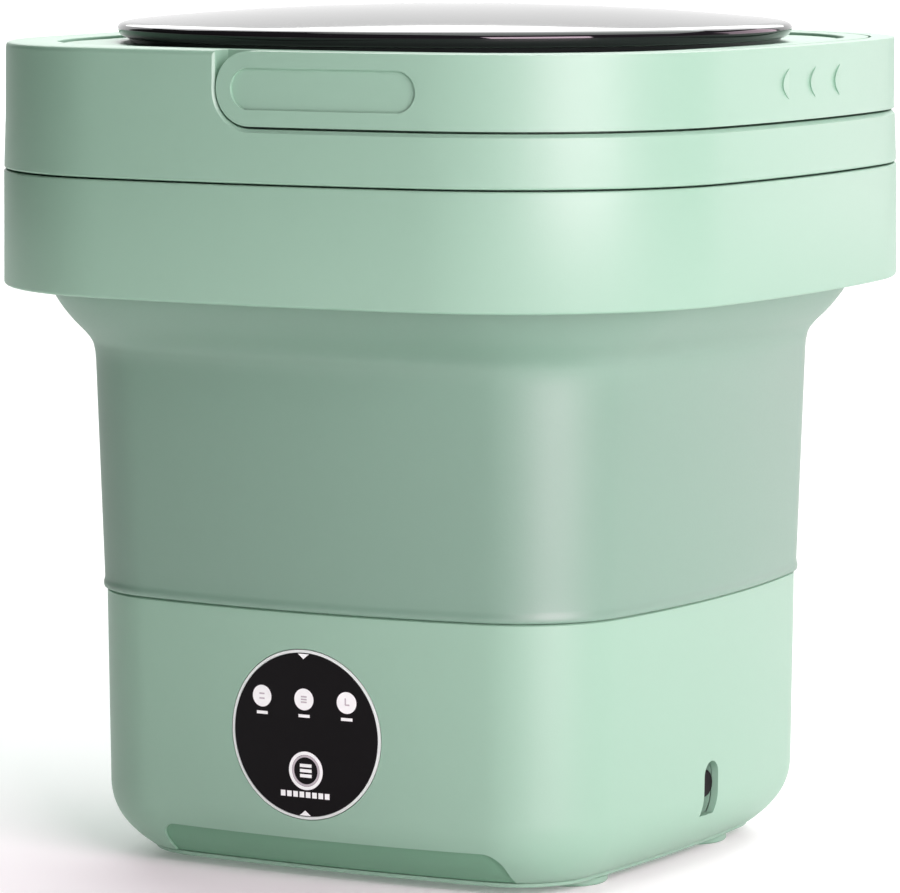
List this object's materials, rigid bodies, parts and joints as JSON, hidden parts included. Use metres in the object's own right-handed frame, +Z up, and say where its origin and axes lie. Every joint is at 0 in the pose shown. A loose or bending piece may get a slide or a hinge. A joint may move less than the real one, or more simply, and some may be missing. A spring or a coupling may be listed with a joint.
{
  "type": "portable mini washer",
  "caption": "Folding bucket washer: rigid base with drive, soft folding wall, collar with a swing-up carry handle and a lift-off windowed lid.",
  "frame": {"origin": "middle of the footprint, on the surface the washer stands on", "axes": "+Z up; -Y is the front with the touch panel; +X is the drain side, where the handle's grip lies"},
  "size_m": [0.272, 0.272, 0.2876],
  "materials": {
    "housing": "fine satin moulded pale green",
    "foot": "satin pale green",
    "soft_wall": "matte soft elastomer, muted green",
    "tub": "satin white",
    "window": "clear glossy dark tint",
    "panel_black": "satin black film",
    "panel_white": "satin white",
    "black_plastic": "matte black",
    "natural_plastic": "unpainted acetal",
    "black_rubber": "matte",
    "bronze": "sintered bronze",
    "circuit_board": "solder mask",
    "steel": "zinc plated"
  },
  "bodies": {
    "base": {"base_shell": "housing", "bottom_cover": "housing", "foot_1": "foot", "foot_2": "foot", "foot_3": "foot", "foot_4": "foot", "cover_screw_1": "steel", "cover_screw_2": "steel", "cover_screw_3": "steel", "cover_screw_4": "steel", "tub_floor": "tub", "lower_clamp_ring": "tub", "lower_clamp_screw_1": "steel", "lower_clamp_screw_2": "steel", "lower_clamp_screw_3": "steel", "lower_clamp_screw_4": "steel", "folding_wall": "soft_wall", "bearing_housing": "natural_plastic", "sleeve_bearing": "bronze", "lip_seal": "black_rubber", "motor_can": "steel", "motor_plate": "steel", "motor_screw_1": "steel", "motor_screw_2": "steel", "drive_belt": "black_rubber", "control_board": "circuit_board", "touch_panel": "panel_black", "panel_trim": "panel_white", "drain_pocket": "housing", "drain_spout": "black_plastic", "drain_hose": "black_rubber", "power_inlet": "black_plastic", "motor_lead": "black_rubber", "inlet_lead": "black_rubber"},
    "upper": {"collar_skirt": "housing", "upper_ring": "housing", "upper_clamp_ring": "tub", "upper_clamp_screw_1": "steel", "upper_clamp_screw_2": "steel", "upper_clamp_screw_3": "steel", "upper_clamp_screw_4": "steel", "handle_pin_front": "steel", "handle_pin_back": "steel"},
    "handle": {"carry_handle": "housing"},
    "lid": {"lid_plate": "housing", "lid_window": "window", "window_retainer": "natural_plastic", "lid_seal": "black_rubber"},
    "agitator": {"pulsator": "tub", "pulsator_cap": "tub", "drive_shaft": "steel", "large_pulley": "natural_plastic", "shaft_circlip": "steel"},
    "rotor": {"motor_shaft": "steel", "motor_pulley": "natural_plastic"},
    "plug": {"drain_plug": "black_rubber", "plug_seal": "black_rubber"}
  },
  "joints": [
    {"name": "fold", "type": "slide", "parent": "base", "child": "upper", "axis": [0, 0, -1], "range_m": [0, 0.15], "deforming": ["folding_wall"]},
    {"name": "handle_swing", "type": "hinge", "parent": "upper", "child": "handle", "pos_m": [0, 0, 0.2643], "axis": [0, -1, 0], "range_deg": [0, 90]},
    {"name": "lid_lift", "type": "slide", "parent": "upper", "child": "lid", "axis": [0, 0, 1], "range_m": [0, 0.06]},
    {"name": "pulsator_spin", "type": "hinge", "parent": "base", "child": "agitator", "pos_m": [0, 0, 0.05], "axis": [0, 0, 1], "continuous": true},
    {"name": "rotor_spin", "type": "hinge", "parent": "base", "child": "rotor", "pos_m": [-0.052, 0, 0.03], "axis": [0, 0, 1], "continuous": true},
    {"name": "plug_pull", "type": "slide", "parent": "base", "child": "plug", "axis": [1, 0, 0], "range_m": [0, 0.03]}
  ],
  "couplings": [
    {"joint": "rotor_spin", "follows": "pulsator_spin", "ratio": 4.25}
  ]
}
